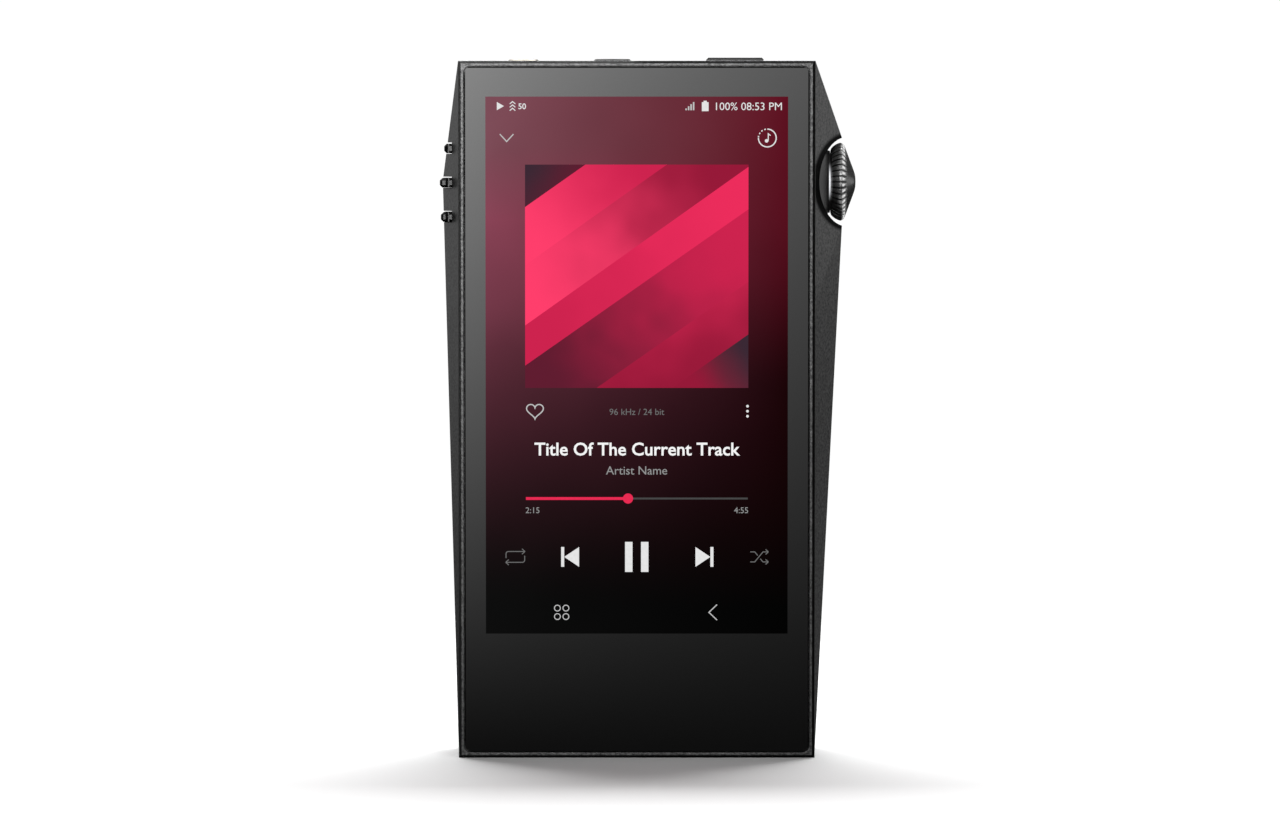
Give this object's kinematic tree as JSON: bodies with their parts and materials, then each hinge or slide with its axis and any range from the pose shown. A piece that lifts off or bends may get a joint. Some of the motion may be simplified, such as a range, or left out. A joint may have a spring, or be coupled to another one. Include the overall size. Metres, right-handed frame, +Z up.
{
  "type": "digital audio player",
  "caption": "Pocket music player with a faceted metal case, full glass front, knurled side volume wheel, side keys and headphone sockets on top.",
  "frame": {"origin": "centre of the flat bottom face of the case, which the player stands on", "axes": "+X to the right seen from the front (volume wheel side), -Y out of the glass, +Z up"},
  "size_m": [0.0706, 0.0184, 0.1186],
  "materials": {
    "case_metal": "bead-blasted dark anthracite anodising, satin",
    "key_metal": "dark anodised, bevelled edges",
    "wheel_metal": "dark anodised, knurled back, radially brushed cone",
    "pedestal_metal": "dark anodised, smooth",
    "cover_glass": "black-backed glossy glass",
    "back_glass": "dark back-painted glass",
    "adhesive": "black foam adhesive",
    "touch_film": "clear film with fine electrodes",
    "lcd_cell": "dark laminated cell",
    "backlight": "white diffuser in a black frame",
    "flex": "amber polyimide ribbon",
    "frame_metal": "bare cast and machined",
    "bush_brass": "turned",
    "light_guide": "translucent white, smooth",
    "circuit_board": "solder-masked board",
    "washer_plastic": "slippery white plastic",
    "chip": "moulded black",
    "bracket_steel": "pressed sheet",
    "shield_steel": "tinned sheet",
    "pale_collar": "bevelled, pale gold anodised",
    "dark_collar": "bevelled, black anodised",
    "thermal": "soft silicone pad",
    "capacitor": "cans with black marking sleeve",
    "battery_pouch": "foil pouch with tape wrap",
    "shaft_steel": "ground",
    "magnet": "nickel plated",
    "screw_steel": "black zinc"
  },
  "bodies": {
    "case": {"chassis": "case_metal", "front_glass": "cover_glass", "glass_gasket": "adhesive", "back_cover": "back_glass", "back_gasket": "adhesive", "touch_sensor": "touch_film", "lcd_panel": "lcd_cell", "backlight_unit": "backlight", "display_flex": "flex", "mid_frame": "frame_metal", "antenna": "flex", "wheel_bushing": "bush_brass", "bushing_nut": "bush_brass", "wheel_pedestal": "pedestal_metal", "light_ring": "light_guide", "wheel_led_board": "circuit_board", "thrust_washer": "washer_plastic", "encoder_sensor": "chip", "encoder_board": "circuit_board", "encoder_bracket": "bracket_steel", "side_switches": "bracket_steel", "side_switch_board": "circuit_board", "side_switch_bracket": "bracket_steel", "power_switch": "bracket_steel", "power_switch_board": "circuit_board", "power_switch_bracket": "bracket_steel", "jack_socket_small": "chip", "jack_socket_large": "chip", "jack_contacts": "bush_brass", "jack_collar_small": "pale_collar", "jack_collar_large": "dark_collar", "usb_receptacle": "shield_steel", "card_socket": "shield_steel", "port_board": "circuit_board", "main_board": "circuit_board", "thermal_pad": "thermal", "processor_shield": "shield_steel", "wireless_shield": "shield_steel", "audio_board": "circuit_board", "dac_shield": "shield_steel", "amplifier_shield": "shield_steel", "audio_capacitors": "capacitor", "link_flex": "flex", "board_connectors": "chip", "battery": "battery_pouch", "battery_lead": "flex", "port_flex": "flex", "mid_frame_screws": "screw_steel", "board_spacers": "screw_steel", "board_pillars": "screw_steel", "board_screws": "screw_steel", "bracket_screws": "screw_steel"},
    "wheel": {"volume_wheel": "wheel_metal", "wheel_shaft": "shaft_steel", "shaft_clip": "shaft_steel", "encoder_magnet": "magnet"},
    "power_key": {"power_button": "key_metal"},
    "previous_key": {"previous_button": "key_metal"},
    "play_key": {"play_button": "key_metal"},
    "next_key": {"next_button": "key_metal"}
  },
  "joints": [
    {"name": "wheel_turn", "type": "hinge", "parent": "case", "child": "wheel", "pos_m": [0.0337, 0, 0.09755], "axis": [1, 0, 0], "continuous": true},
    {"name": "power_press", "type": "slide", "parent": "case", "child": "power_key", "axis": [0, 0, -1], "range_m": [0, 0.0003], "stiffness_N_per_m": 1500},
    {"name": "previous_press", "type": "slide", "parent": "case", "child": "previous_key", "axis": [1, 0, 0], "range_m": [0, 0.0003], "stiffness_N_per_m": 1500},
    {"name": "play_press", "type": "slide", "parent": "case", "child": "play_key", "axis": [1, 0, 0], "range_m": [0, 0.0003], "stiffness_N_per_m": 1500},
    {"name": "next_press", "type": "slide", "parent": "case", "child": "next_key", "axis": [1, 0, 0], "range_m": [0, 0.0003], "stiffness_N_per_m": 1500}
  ]
}
